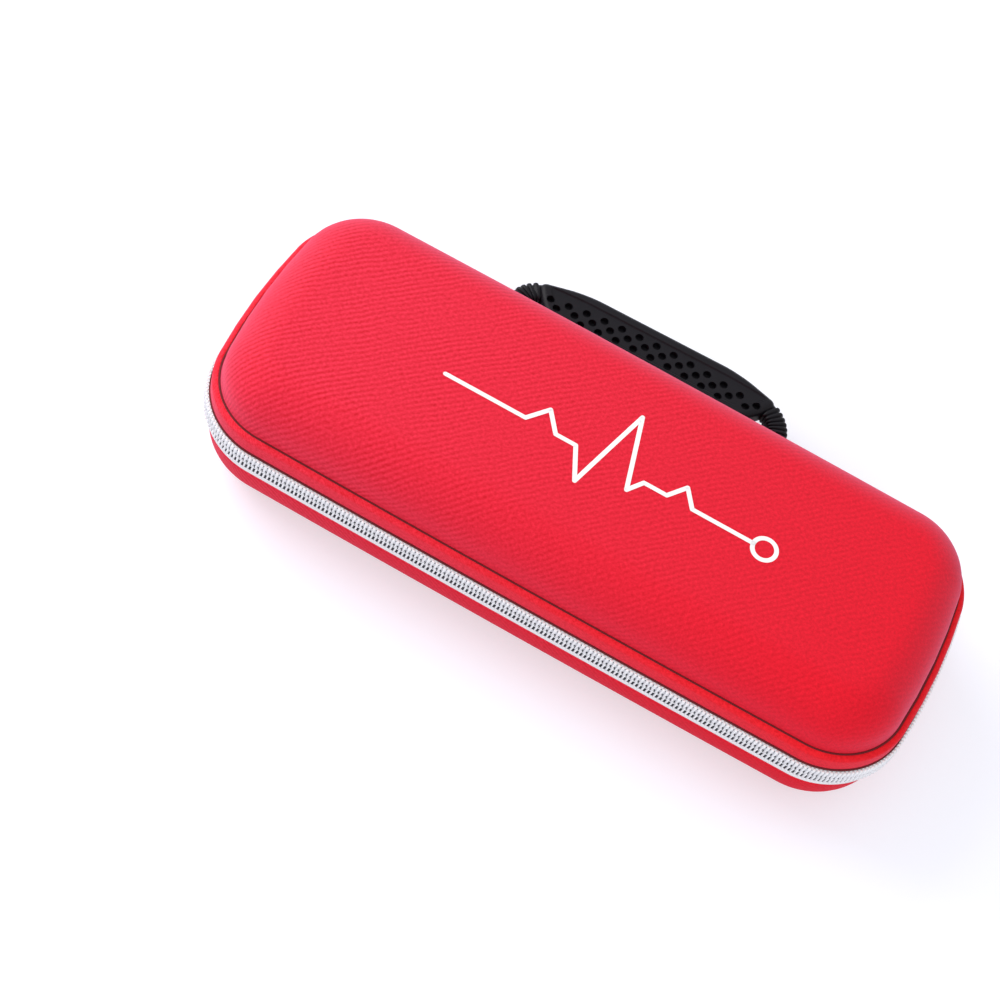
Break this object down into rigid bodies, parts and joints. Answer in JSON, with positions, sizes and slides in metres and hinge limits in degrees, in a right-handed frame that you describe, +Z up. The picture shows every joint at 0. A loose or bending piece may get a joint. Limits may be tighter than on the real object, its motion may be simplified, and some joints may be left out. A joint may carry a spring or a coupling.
{
  "type": "stethoscope case",
  "caption": "Zip-up moulded foam hard case for a stethoscope, with a hinged lid, a net pocket inside and a rubber carrying handle on the hinge side.",
  "frame": {"origin": "centre of the flat bottom face of the base", "axes": "+X along the case's length, +Y towards the hinge and the handle, -Y towards the zipper's long side, +Z up through the lid"},
  "size_m": [0.281, 0.1463, 0.0634],
  "materials": {
    "red_fabric": "fine ribbed polyester weave, soft sheen",
    "foam": "closed-cell EVA foam, matte",
    "lining_fabric": "brushed knit lining, matte",
    "binding_fabric": "ribbed grosgrain tape",
    "white_tape": "woven zipper tape",
    "white_teeth": "moulded coil teeth, satin",
    "elastic": "knitted elastic",
    "net": "open mesh net",
    "black_rubber": "moulded soft rubber, satin",
    "black_plastic": "moulded nylon",
    "webbing": "woven webbing",
    "slider_metal": "white enamelled die casting"
  },
  "bodies": {
    "base": {"base_cover": "red_fabric", "base_core": "foam", "base_lining": "lining_fabric", "base_rim": "red_fabric", "base_binding": "binding_fabric", "base_zipper_tape": "white_tape", "base_zipper_coil": "white_teeth", "zipper_tail_lower": "white_tape", "zipper_stops": "white_teeth", "hinge_strip": "red_fabric", "strap_left": "elastic", "strap_right": "elastic", "strap_patches": "binding_fabric", "handle_feet": "black_rubber", "washer_plates": "black_plastic"},
    "lid": {"lid_cover": "red_fabric", "lid_core": "foam", "lid_lining": "lining_fabric", "lid_rim": "red_fabric", "lid_binding": "binding_fabric", "lid_zipper_tape": "white_tape", "lid_zipper_coil": "white_teeth", "zipper_tail_upper": "white_tape", "lid_pocket_net": "net", "lid_pocket_hem": "elastic", "lid_pocket_edging": "binding_fabric"},
    "handle": {"handle_grip": "black_rubber", "handle_webbing": "webbing", "handle_neck_left": "black_rubber", "handle_neck_right": "black_rubber"},
    "slider": {"slider_body": "slider_metal"},
    "pull_tab": {"pull_tab": "slider_metal"}
  },
  "joints": [
    {"name": "lid_hinge", "type": "hinge", "parent": "base", "child": "lid", "pos_m": [0, 0.05625, 0.0315], "axis": [-1, 0, 0], "range_deg": [0, 105], "deforming": ["hinge_strip", "zipper_tail_upper"]},
    {"name": "handle_swing", "type": "hinge", "parent": "base", "child": "handle", "pos_m": [0, 0.05887, 0.0185], "axis": [1, 0, 0], "range_deg": [-25, 12], "stiffness_Nm_per_rad": 0.4, "deforming": ["handle_neck_left", "handle_neck_right"]},
    {"name": "slider_slide", "type": "slide", "parent": "base", "child": "slider", "axis": [1, 0, 0], "range_m": [0, 0.015], "deforming": ["zipper_tail_lower"]},
    {"name": "pull_tab_swing", "type": "hinge", "parent": "slider", "child": "pull_tab", "pos_m": [0.086, 0.05988, 0.0315], "axis": [1, 0, 0], "range_deg": [0, 50]}
  ]
}
